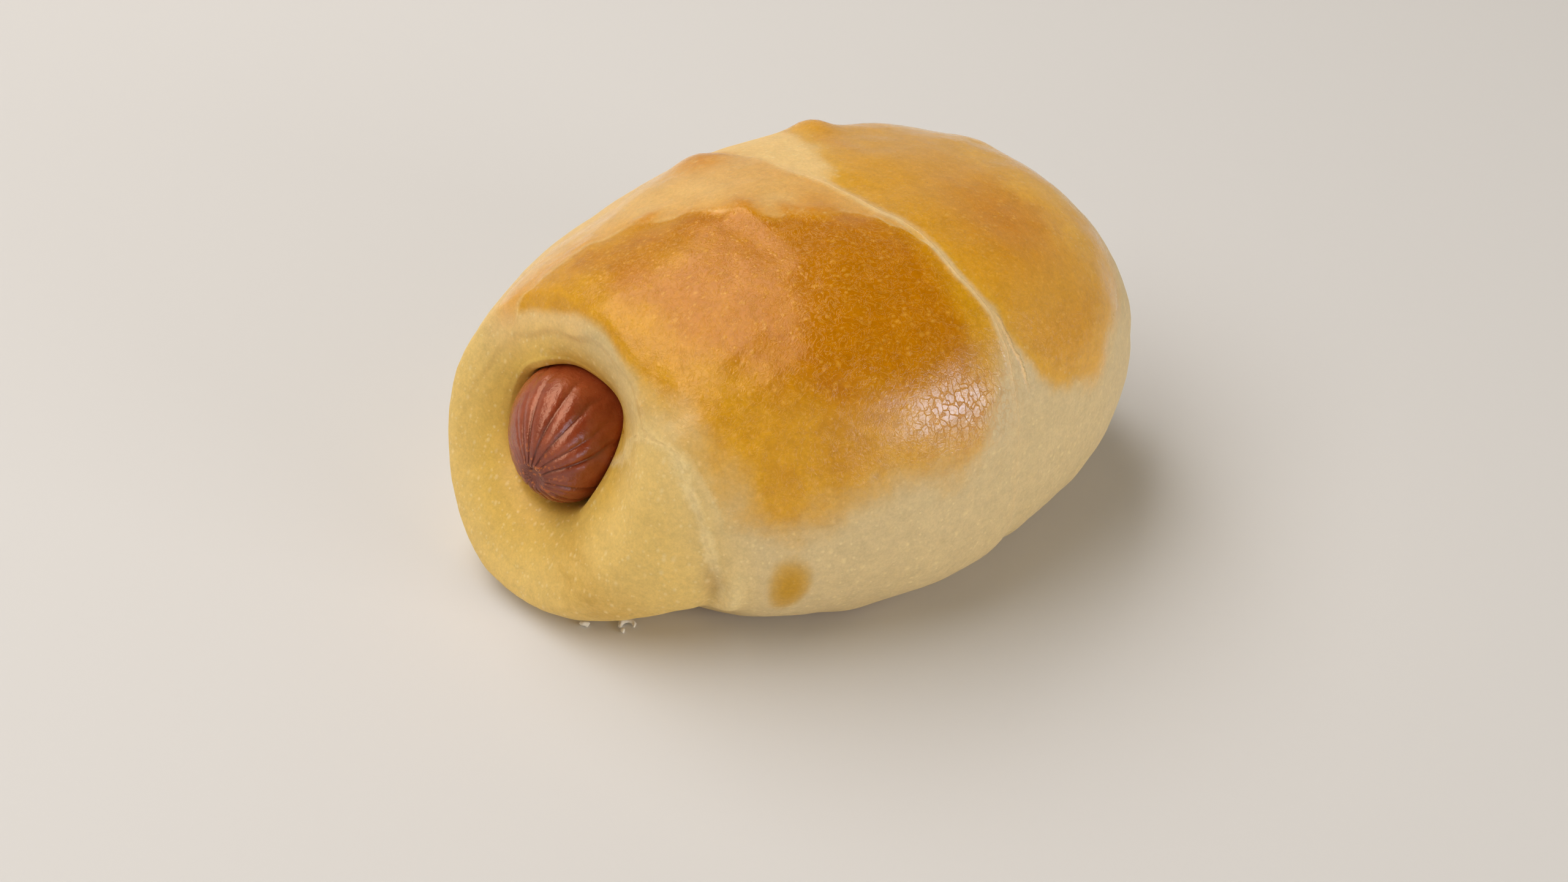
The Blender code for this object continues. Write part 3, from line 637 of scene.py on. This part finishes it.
class Recipe:
    """Short calls for the nodes of a material or of the sky, with colours taken by name from the settings."""

    def __init__(self, owner, look):
        owner.use_nodes = True
        self.owner = owner
        self.tree = owner.node_tree
        self.look = look
        self.place = self.add("ShaderNodeTexCoord").outputs

    def add(self, kind, inputs=None, **settings):
        """A node with its settings made and its inputs fed, by name or by number."""
        node = self.tree.nodes.new(kind)
        for key, value in settings.items():
            setattr(node, key, value)
        for key, value in (inputs or {}).items():
            self.feed(node.inputs[key], value)
        return node

    def feed(self, socket, value):
        """Links a node's output, or sets a constant on the socket itself: a number, or a colour by its name."""
        if isinstance(value, bpy.types.NodeSocket):
            self.tree.links.new(value, socket)
        elif isinstance(value, str):
            socket.default_value = tuple(getattr(self.look, value + "_colour"))
        else:
            socket.default_value = value

    def shade(self, shader, inputs):
        """Feeds the inputs of the shader by name, and gives back the finished owner."""
        for key, value in inputs.items():
            self.feed(self.tree.nodes[shader].inputs[key], value)
        return self.owner

    def value(self, key):
        """One of the mesh's attributes."""
        return self.add("ShaderNodeAttribute", attribute_name=key).outputs["Fac"]

    def height(self, kind):
        """The third of the coordinates of a kind."""
        return self.add("ShaderNodeSeparateXYZ", {0: self.place[kind]}).outputs["Z"]

    def math(self, operation, *numbers, clamp=False):
        return self.add("ShaderNodeMath", dict(enumerate(numbers)), operation=operation, use_clamp=clamp).outputs[0]

    def times(self, first, second, clamp=False):
        return self.math("MULTIPLY", first, second, clamp=clamp)

    def plus(self, first, second, clamp=False):
        return self.math("ADD", first, second, clamp=clamp)

    def less(self, first, second):
        return self.math("SUBTRACT", first, second)

    def most(self, first, second, clamp=False):
        return self.math("MAXIMUM", first, second, clamp=clamp)

    def centred(self, noise, strength):
        """Noise moved from round 0.5 to round 0, times a strength."""
        return self.times(self.less(noise, 0.5), strength)

    def apart(self, key, edge, share):
        """Distance from a line that an attribute measures, with the line made uneven by a share of edge."""
        return self.math("ABSOLUTE", self.plus(self.value(key), self.times(edge, share)))

    def ramp(self, value, low, high, start=0.0, end=1.0):
        """A smooth step of value from low to high, giving start to end."""
        numbers = dict(enumerate((value, low, high, start, end)))
        return self.add("ShaderNodeMapRange", numbers, interpolation_type="SMOOTHSTEP").outputs[0]

    def mix(self, share, first, second):
        """A colour between two."""
        colours = {MIX_SHARE: share, MIX_FIRST: first, MIX_SECOND: second}
        return self.add("ShaderNodeMix", colours, data_type="RGBA").outputs[MIX_RESULT]

    def scaled(self, first, factor):
        """A colour times a number."""
        return self.add("ShaderNodeVectorMath", {0: first, "Scale": factor}, operation="SCALE").outputs[0]

    def stretched(self, scale, vector=None):
        """Coordinates times a scale for each axis: the object's own, unless others are given."""
        return self.add("ShaderNodeMapping", {"Vector": vector or self.place["Object"], "Scale": scale}).outputs[0]

    def warped(self, scale, amount):
        """Object coordinates pushed about by noise of one scale, amount in metres."""
        push = self.add("ShaderNodeTexNoise", {"Vector": self.place["Object"], "Scale": scale}).outputs["Color"]
        inputs = {0: push, 1: (amount, amount, amount), 2: self.place["Object"]}
        return self.add("ShaderNodeVectorMath", inputs, operation="MULTIPLY_ADD").outputs[0]

    def noise(self, scale, detail=3.0, rough=0.55, vector=None, warp=0.0):
        """Soft noise round 0.5, scale in waves per metre."""
        inputs = {"Vector": vector or self.place["Object"], "Scale": scale, "Detail": detail, "Roughness": rough}
        return self.add("ShaderNodeTexNoise", {**inputs, "Distortion": warp}).outputs["Fac"]

    def cells(self, scale, vector=None, feature="F1"):
        """Cells, scale in cells per metre."""
        inputs = {"Vector": vector or self.place["Object"], "Scale": scale}
        return self.add("ShaderNodeTexVoronoi", inputs, feature=feature)

    def flecks(self, scale, rare, small, spread, vector=None):
        """Soft dots: one in each cell whose random number is over rare, of radius small to small + spread cells."""
        cell = self.cells(scale, vector)
        chance = self.add("ShaderNodeSeparateColor", {0: cell.outputs["Color"]})
        size = self.plus(self.times(chance.outputs[1], spread), small)
        dot = self.ramp(cell.outputs["Distance"], size, self.times(size, 0.15))
        return self.times(dot, self.ramp(chance.outputs[0], rare, rare + 0.03))

    def bump(self, height, distance, strength, below=None):
        """A normal raised by height times distance in metres, on top of another normal if one is given."""
        inputs = {"Height": height, "Distance": distance, "Strength": strength}
        if below is not None:
            inputs["Normal"] = below
        return self.add("ShaderNodeBump", inputs).outputs["Normal"]


def colour(red, green, blue):
    """An sRGB colour, 0 to 255, as a linear one."""
    shares = [v / 255.0 for v in (red, green, blue)]
    linear = [v / 12.92 if v <= 0.04045 else ((v + 0.055) / 1.055) ** 2.4 for v in shares]
    return (*linear, 1.0)


def plain_dough(r):
    """Dough without wash: cream along the side, yellower on the shown end, golden on top and lightened there by painted
    light, darker round the sausage partly by painted shade, tanned underneath.
    """
    dough = r.mix(r.ramp(r.value("near_off"), 9.0, -7.0), "dough", "end")
    # Golden dough over the top, lighter than its own colour as painted light on the top.
    dough = r.mix(r.value("crown"), dough, "crown")
    # Darker, more olive dough round the sausage: partly its own colour, partly painted shade of the hole's recess.
    dough = r.mix(r.ramp(r.value("hole"), 12.0, 1.0), dough, "shaded_mouth")
    return r.mix(r.ramp(r.height("Object"), 2.6 * MM, 0.6 * MM), dough, "base")


def egg_wash(r, skin, edge, mottle):
    """The thin wash over the saddle, the wash of the middle coil and that of the far coil: colour and glaze."""
    above = r.times(r.value("above"), r.ramp(r.noise(60.0, 3.0, 0.5), 0.30, 0.62, 0.72, 1.12), clamp=True)
    skin = r.mix(above, skin, "upper_wash")
    thin = r.ramp(r.plus(r.value("wash"), r.times(edge, 0.40)), -1.0, 2.8)
    deep = r.plus(r.value("brown"), r.centred(mottle, 0.55), clamp=True)
    skin = r.mix(thin, skin, r.mix(deep, "thin_wash", "deep_wash"))
    far = r.plus(r.value("far_wash"), r.times(edge, 0.09), clamp=True)
    skin = r.mix(r.ramp(far, 0.0, 0.55), skin, "far_thin")
    browned = r.ramp(r.plus(far, r.centred(mottle, 0.5)), 0.42, 1.0)
    skin = r.mix(r.times(browned, r.value("far_brown")), skin, "far_wash")
    return skin, r.most(thin, r.most(far, above), clamp=True)


def drip_stain_blisters(r, skin, drip, mottle):
    """The drip on the side, thin and then thick, the stain on the shown end, and the brown blisters."""
    skin = r.mix(r.ramp(drip, -0.35, 0.7, 0.0, 0.72), skin, "drip")
    skin = r.mix(r.ramp(drip, 0.3, 1.6, 0.0, 0.90), skin, "drip")
    skin = r.mix(r.times(r.value("stain"), r.ramp(mottle, 0.3, 0.7, 0.25, 0.60)), skin, "drip")
    spot = r.times(r.value("blister"), r.ramp(r.noise(420.0), 0.26, 0.50, 0.60, 1.0), clamp=True)
    return r.mix(r.times(spot, 0.95), skin, "blister")


def pale_seam(r, turn, edge):
    """Share of pale seam: a line along the far seam that widens and breaks up lower down, and its branch."""
    grains = r.centred(r.noise(1100.0, 3.0, 0.6), 1.2)
    off = r.apart("far_off", edge, 0.14)
    band = r.ramp(r.less(off, grains), 1.9, 0.2, 0.0, 0.55)
    line = r.most(r.ramp(r.less(off, r.times(grains, 0.35)), 0.44, 0.14, 0.0, 0.9), band)
    line = r.times(line, r.times(r.ramp(turn, 108.0, 88.0), r.ramp(turn, 8.0, 32.0, 0.25, 1.0)))
    branch = r.ramp(r.less(r.apart("branch_off", edge, 0.12), grains), 0.65, 0.10)
    branch = r.times(branch, r.times(r.ramp(turn, 46.0, 38.0), r.ramp(turn, 14.0, 22.0)))
    return r.most(line, branch)


def near_crease(r, turn, edge):
    """Share of the fine crease between the shown end and the middle coil, dotted and fading downwards, painted dark as
    shade.
    """
    line = r.ramp(r.apart("near_off", edge, 0.14), 0.50, 0.10)
    line = r.times(line, r.ramp(r.noise(500.0, 2.0), 0.40, 0.60, 0.1, 1.0))
    return r.times(line, r.times(r.ramp(turn, 37.0, 33.0), r.ramp(turn, -34.0, -10.0)))


def near_grains(r, turn, edge):
    """Share of pale grains beside that crease, and of painted light on the ridge in the foot."""
    grains = r.ramp(r.less(r.math("ABSOLUTE", r.value("near_off")), r.times(edge, 0.7)), 1.3, 0.1)
    for out, full, least in ((34.0, 20.0, 0.25), (40.0, 33.0, 0.0), (-44.0, -30.0, 0.0)):
        grains = r.times(grains, r.ramp(turn, out, full, least, 1.0))
    # The ridge's pale share is painted light.
    return r.most(grains, r.value("pale"))


def crust_material(look):
    """Pale dough, with egg wash browned on top of it by zones that the mesh's attributes measure."""
    r = Recipe(bpy.data.materials.new("crust"), look)
    turn, crackle = r.value("turn"), r.value("crackle")
    edge = r.centred(r.noise(300.0, 4.0, 0.65), 4.0)
    grain = r.noise(900.0, 4.0, 0.65)
    mottle = r.noise(330.0, 4.0, 0.6, vector=r.stretched((1.0, 0.7, 1.2)), warp=0.5)
    drip = r.plus(r.value("drip"), r.times(edge, 0.14))
    skin, glaze = egg_wash(r, plain_dough(r), edge, mottle)
    skin = drip_stain_blisters(r, skin, drip, mottle)
    # Pale stretched dough along the seams, broken up into grains.
    seam, shaded_crease, grains = pale_seam(r, turn, edge), near_crease(r, turn, edge), near_grains(r, turn, edge)
    skin = r.mix(r.times(seam, 0.85), skin, "seam")
    skin = r.mix(r.times(grains, 0.60), skin, "grain")
    # Painted shade in the crease.
    skin = r.mix(r.times(shaded_crease, 0.14), skin, "shaded_crease")
    # Painted shadow in the dent of the foot.
    skin = r.mix(r.times(r.value("dent"), 0.30), skin, "shaded_crease")
    # Pale flecks and round bubbles, each in its own cell, and a few pinholes darkened by painted shade.
    fleck = r.most(r.flecks(*LARGE_FLECKS, r.stretched((1.0, 1.5, 1.0))), r.flecks(*SMALL_FLECKS))
    fleck = r.times(fleck, r.ramp(drip, -0.6, 0.8, 1.0, 0.15))
    pale = r.mix(glaze, "grain", "fleck")
    skin = r.mix(r.times(fleck, r.ramp(glaze, 0.0, 1.0, 0.44, 0.46)), skin, pale)
    skin = r.mix(r.times(r.flecks(*PINHOLES), 0.7), skin, "shaded_crease")
    # Plates of crackled glaze with painted shade in the gaps between them, and fine pale threads over all of the wash.
    plates = r.cells(640.0, r.stretched((1.35, 0.95, 0.66), r.warped(620.0, 1.8 * MM)), "DISTANCE_TO_EDGE")
    to_gap = plates.outputs["Distance"]
    gap = r.times(r.ramp(to_gap, 0.10, 0.02), crackle)
    # The gaps are darkened as painted shade.
    skin = r.mix(r.times(gap, 0.45), skin, "deep_wash")
    thread = r.math("ABSOLUTE", r.less(r.noise(560.0, 4.0, 0.62, warp=1.6), 0.5))
    skin = r.mix(r.times(r.ramp(thread, 0.030, 0.006), r.ramp(glaze, 0.3, 1.0, 0.0, 0.32)), skin, pale)
    # Light and dark from the grain, the mottling and the pores.
    pores = r.noise(1900.0, 3.0, 0.6, warp=0.7)
    tone = r.plus(r.ramp(grain, 0.30, 0.75, 0.05, -0.04), r.ramp(mottle, 0.30, 0.72, 0.07, -0.03))
    tone = r.plus(tone, r.ramp(pores, 0.32, 0.68, -0.05, 0.05))
    # Leathery wrinkles, pores, cracks, threads, flecks, grains on the seams and the crease.
    wrinkle = r.noise(560.0, 3.0, 0.6, vector=r.stretched((1.0, 1.0, 1.4)), warp=0.9)
    calm = r.ramp(crackle, 0.2, 0.9, 1.0, 0.55)
    normal = r.bump(wrinkle, WRINKLE_DEPTH, r.times(r.ramp(glaze, 0.0, 1.0, 0.22, 0.16), calm))
    normal = r.bump(pores, PORE_DEPTH, r.ramp(glaze, 0.0, 1.0, 0.35, 0.60), normal)
    normal = r.bump(r.ramp(to_gap, 0.0, 0.10), CRACK_DEPTH, r.times(crackle, glaze), normal)
    normal = r.bump(r.ramp(thread, 0.0, 0.05), THREAD_DEPTH, r.ramp(glaze, 0.2, 1.0, 0.0, 0.4), normal)
    normal = r.bump(fleck, FLECK_DEPTH, 0.6, normal)
    raised = r.less(r.plus(seam, r.times(grains, 0.5)), r.times(shaded_crease, 0.4))
    normal = r.bump(raised, SEAM_DEPTH, 0.9, normal)
    # Gloss follows the wash, and a thicker film of it shines where it crackled.
    rough = r.plus(r.ramp(glaze, 0.0, 0.5, 0.54, 0.13), r.times(gap, 0.35))
    return r.shade(SURFACE, {
        "Base Color": r.scaled(skin, r.plus(tone, 1.0)),
        "Roughness": r.plus(rough, r.ramp(grain, 0.3, 0.7, -0.02, 0.03)), "Specular IOR Level": 0.50, "Normal": normal,
        "Subsurface Weight": 0.12, "Subsurface Radius": (1.0, 0.55, 0.22), "Subsurface Scale": 1.6 * MM,
        "Coat Weight": r.times(crackle, r.ramp(gap, 0.0, 0.6, 0.9, 0.2)), "Coat Roughness": 0.14, "Coat IOR": 2.0,
        "Coat Normal": normal})


def skin_material(look):
    """Smoked sausage skin: red brown, with painted shade in the folds and round the pucker, and orange fat at the
    pucker.
    """
    r = Recipe(bpy.data.materials.new("skin"), look)
    tip = r.value("tip")
    blotch = r.noise(170.0, 4.0, 0.6)
    base = r.mix(r.ramp(blotch, 0.35, 0.68), "skin", "skin_light")
    # Painted shade in the folds, and round the pucker.
    base = r.mix(r.times(r.ramp(r.value("fold"), 0.10, 0.75), 0.75), base, "fold")
    base = r.mix(r.times(r.ramp(tip, 10.0, 1.5), 0.50), base, "fold")
    fat = r.times(r.ramp(r.noise(760.0, 3.0, 0.6), 0.56, 0.63), r.ramp(tip, 9.0, 3.0))
    base = r.mix(r.times(fat, 0.8), base, "fat")
    base = r.mix(r.ramp(r.noise(1300.0, 4.0, 0.6), 0.4, 0.8, 0.0, 0.25), base, "skin_light")
    normal = r.bump(r.noise(620.0, 4.0, 0.60, warp=0.6), SKIN_WRINKLE_DEPTH, 0.26)
    normal = r.bump(r.noise(1300.0, 3.0, 0.6), SKIN_GRAIN_DEPTH, 0.9, normal)
    return r.shade(SURFACE, {
        "Base Color": base, "Normal": normal, "Specular IOR Level": 0.75,
        "Roughness": r.plus(r.ramp(blotch, 0.3, 0.7, 0.20, 0.28), r.ramp(tip, 8.0, 3.0, 0.0, 0.25)),
        "Subsurface Weight": 0.10, "Subsurface Radius": (1.0, 0.3, 0.15), "Subsurface Scale": 1.2 * MM})


def crumb_material(look):
    """Dry crumb: pale, matt and rough."""
    r = Recipe(bpy.data.materials.new("crumb"), look)
    return r.shade(SURFACE, {"Base Color": r.mix(r.noise(1500.0), "crumb", DRY_CRUMB_COLOUR), "Roughness": 0.8})


def floor_material(look):
    """Plain pale studio floor."""
    r = Recipe(bpy.data.materials.new("studio_floor"), look)
    return r.shade(SURFACE, {"Base Color": "floor", "Roughness": 0.75, "Specular IOR Level": 0.15})


def colour_setting(name, description, red, green, blue):
    return bpy.props.FloatVectorProperty(name=name, description=description, subtype="COLOR", size=4, min=0.0, max=1.0,
                                         default=colour(red, green, blue))


class KolacheCrustSettings(bpy.types.PropertyGroup):
    rounds: bpy.props.IntProperty(name="Faces round", description="Faces round the long axis", default=420, min=60)
    columns: bpy.props.IntProperty(name="Faces along", description="Faces along the profile", default=234, min=78)
    relief: bpy.props.FloatProperty(name="Unevenness", description="Strength of the soft unevenness", default=1.0)
    dough_colour: colour_setting("Dough", "Pale dough along the side", 212, 188, 138)
    end_colour: colour_setting("End dough", "Yellower dough of the shown end", 224, 190, 108)
    # Golden dough over the top, partly painted light: lighter than its own colour where light falls on the top.
    crown_colour: colour_setting("Crown", "Golden dough over the top", 230, 194, 128)
    # Partly the dough's own colour, partly painted shade of the recess round the sausage.
    shaded_mouth_colour: colour_setting("Mouth", "Steamed dough round the sausage", 212, 174, 76)
    base_colour: colour_setting("Base", "Underside", 200, 148, 80)
    thin_wash_colour: colour_setting("Thin wash", "Egg wash at its edges", 214, 157, 20)
    deep_wash_colour: colour_setting("Deep wash", "Egg wash where it browned most", 189, 117, 1)
    upper_wash_colour: colour_setting("Upper wash", "Lighter wash above the lap", 221, 163, 74)
    far_wash_colour: colour_setting("Far wash", "Browned wash on the far coil", 199, 128, 1)
    far_thin_colour: colour_setting("Far thin wash", "Wash at its edges on the far coil", 221, 165, 46)
    drip_colour: colour_setting("Drip", "The drip of egg wash on the side", 196, 146, 10)
    blister_colour: colour_setting("Blister", "Brown blisters on the edges of the coils", 207, 136, 14)
    seam_colour: colour_setting("Seam", "Stretched pale dough", 240, 202, 140)
    fleck_colour: colour_setting("Fleck", "Pale flecks in the washed crust", 230, 170, 62)
    grain_colour: colour_setting("Grain", "Pale grains and bubbles in the plain dough", 238, 216, 158)
    # Painted shade of the crease, of the dent in the foot and of the pinholes.
    shaded_crease_colour: colour_setting("Crease", "Crease and pinholes", 140, 92, 34)


class KolacheSausageSettings(bpy.types.PropertyGroup):
    rounds: bpy.props.IntProperty(name="Faces round", description="Faces round the sausage", default=300, min=60)
    folds: bpy.props.FloatProperty(name="Folds", description="Strength of the skin folds", default=1.0)
    skin_colour: colour_setting("Skin", "Smoked skin", 138, 56, 26)
    skin_light_colour: colour_setting("Light skin", "Lighter blotches of the skin", 158, 72, 38)
    # Painted shade at the bottom of the folds and round the pucker.
    fold_colour: colour_setting("Folds", "Bottom of the folds", 80, 26, 8)
    fat_colour: colour_setting("Fat", "Orange flecks of fat at the pucker", 206, 110, 30)
    crumb_colour: colour_setting("Crumb", "Dry crumb", 238, 230, 214)


class KolacheStageSettings(bpy.types.PropertyGroup):
    focal_px: bpy.props.FloatProperty(name="Focal length", default=4822.6,
                                      description="In pixels of a picture 2560 wide")
    azimuth: bpy.props.FloatProperty(name="Azimuth", description="Camera angle round the object", default=-41.0)
    elevation: bpy.props.FloatProperty(name="Elevation", description="Camera angle above the table", default=35.5)
    roll: bpy.props.FloatProperty(name="Roll", description="Camera turn about its own axis", default=1.0)
    distance: bpy.props.FloatProperty(name="Distance", description="Camera to aim point", default=0.58456,
                                      unit="LENGTH")
    floor_colour: colour_setting("Floor", "Pale floor", 224, 223, 223)


class KOLACHE_OT_crust(bpy.types.Operator):
    """Makes the fine crust in place of the plain bun"""
    bl_idname = "kolache.make_crust"
    bl_label = "Make crust"

    def execute(self, context):
        look = context.scene.kolache_crust
        piece = crust_mesh("crust", look.rounds, look.columns, look.relief)
        piece.data.materials.append(crust_material(look))
        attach(piece, "root")
        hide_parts("bun")
        return {"FINISHED"}


class KOLACHE_OT_sausage(bpy.types.Operator):
    """Makes the folded sausage skin in place of the plain sausage"""
    bl_idname = "kolache.make_sausage"
    bl_label = "Make sausage"

    def execute(self, context):
        look = context.scene.kolache_sausage
        piece = sausage_mesh("sausage_skin", look.rounds, look.folds)
        piece.data.materials.append(skin_material(look))
        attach(piece, "root")
        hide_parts("sausage")
        return {"FINISHED"}


class KOLACHE_OT_crumbs(bpy.types.Operator):
    """Makes the small dry crumbs at the foot of the bun"""
    bl_idname = "kolache.make_crumbs"
    bl_label = "Make crumbs"

    def execute(self, context):
        material = crumb_material(context.scene.kolache_sausage)
        for index, (x, y, *form) in enumerate(CRUMBS):
            piece = crumb_mesh("crumb_%d" % (index + 1), (x, y), *form, CRUMB_SEED + index)
            piece.data.materials.append(material)
            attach(piece, "root")
        return {"FINISHED"}


def view_direction(camera_azimuth, azimuth, elevation):
    """Unit vector for an azimuth counted from straight away from the camera towards its right."""
    a, e = math.radians(azimuth), math.radians(elevation)
    right, away, up = math.sin(a) * math.cos(e), math.cos(a) * math.cos(e), math.sin(e)
    c = math.radians(camera_azimuth)
    return Vector((right * math.cos(c) - away * math.sin(c), right * math.sin(c) + away * math.cos(c), up))


def stand_off(name, data, target, way, distance, turn):
    """A lamp or camera stood off from a target along a direction, looking back at it, turned about its own axis."""
    obj = bpy.data.objects.new(name, data)
    bpy.context.scene.collection.objects.link(obj)
    obj.location = target + way * distance
    obj.rotation_mode = "QUATERNION"
    obj.rotation_quaternion = (-way).to_track_quat("-Z", "Y") @ Quaternion((0.0, 0.0, 1.0), math.radians(turn))
    return obj


def studio_floor(look):
    """One large square on the table plane."""
    mesh = bpy.data.meshes.new("studio_floor")
    corners = [(x * FLOOR_HALF, y * FLOOR_HALF, 0.0) for x, y in ((-1, -1), (1, -1), (1, 1), (-1, 1))]
    mesh.from_pydata(corners, [], [(0, 1, 2, 3)])
    mesh.materials.append(floor_material(look))
    floor = bpy.data.objects.new("studio_floor", mesh)
    bpy.context.scene.collection.objects.link(floor)
    return floor


def studio_sky(look):
    """A warm sky, stronger at the horizon than at the zenith."""
    r = Recipe(bpy.data.worlds.new("studio"), look)
    strength = r.ramp(r.height("Generated"), *SKY_FADE, HORIZON_LIGHT, ZENITH_LIGHT)
    return r.shade(SKY, {"Color": SKY_COLOUR, "Strength": strength})


def studio_lights(look):
    """The lamps of the table of lights, placed by the camera's azimuth."""
    for name, azimuth, elevation, distance, size, turn, power, tint, shows in LIGHTS:
        lamp = bpy.data.lights.new(name, "AREA")
        lamp.shape = "ELLIPSE" if shows else "RECTANGLE"
        lamp.size, lamp.size_y = size
        lamp.energy = power
        lamp.color = tint
        way = view_direction(look.azimuth, azimuth, elevation)
        obj = stand_off(name, lamp, LIGHT_TARGET, way, distance, turn)
        obj.visible_diffuse, obj.visible_glossy = not shows, shows


def studio_camera(look):
    """The photo's view of the aim point, from azimuth 180, which is the camera's own side."""
    lens = bpy.data.cameras.new("camera")
    lens.sensor_width = SENSOR_MM
    lens.lens = look.focal_px / PHOTO_WIDTH_PX * SENSOR_MM
    lens.clip_start, lens.clip_end = CLIP_NEAR, CLIP_FAR
    way = view_direction(look.azimuth, 180.0, look.elevation)
    return stand_off("camera", lens, AIM_POINT, way, look.distance, look.roll)


class KOLACHE_OT_stage(bpy.types.Operator):
    """Makes the floor, the lights and the camera"""
    bl_idname = "kolache.make_stage"
    bl_label = "Make stage"

    def execute(self, context):
        look = context.scene.kolache_stage
        floor = studio_floor(look)
        context.scene.world = studio_sky(look)
        studio_lights(look)
        context.scene.camera = studio_camera(look)
        context.scene.view_settings.view_transform = "Standard"
        return {"FINISHED"}


class KOLACHE_PT_panel(bpy.types.Panel):
    bl_label = "Kolache"
    bl_idname = "KOLACHE_PT_panel"
    bl_space_type = "VIEW_3D"
    bl_region_type = "UI"
    bl_category = "Kolache"

    def draw(self, context):
        for kind in OPERATORS:
            self.layout.operator(kind.bl_idname)


OPERATORS = (KOLACHE_OT_crust, KOLACHE_OT_sausage, KOLACHE_OT_crumbs, KOLACHE_OT_stage)
SETTINGS = {"kolache_crust": KolacheCrustSettings, "kolache_sausage": KolacheSausageSettings,
            "kolache_stage": KolacheStageSettings}
CLASSES = (*SETTINGS.values(), *OPERATORS, KOLACHE_PT_panel)


def register():
    for kind in CLASSES:
        bpy.utils.register_class(kind)
    for key, kind in SETTINGS.items():
        setattr(bpy.types.Scene, key, bpy.props.PointerProperty(type=kind))


def unregister():
    for key in SETTINGS:
        delattr(bpy.types.Scene, key)
    for kind in reversed(CLASSES):
        bpy.utils.unregister_class(kind)


def main():
    register()
    bpy.ops.kolache.make_crust()
    bpy.ops.kolache.make_sausage()
    bpy.ops.kolache.make_crumbs()
    bpy.ops.kolache.make_stage()


if __name__ == "__main__":
    main()
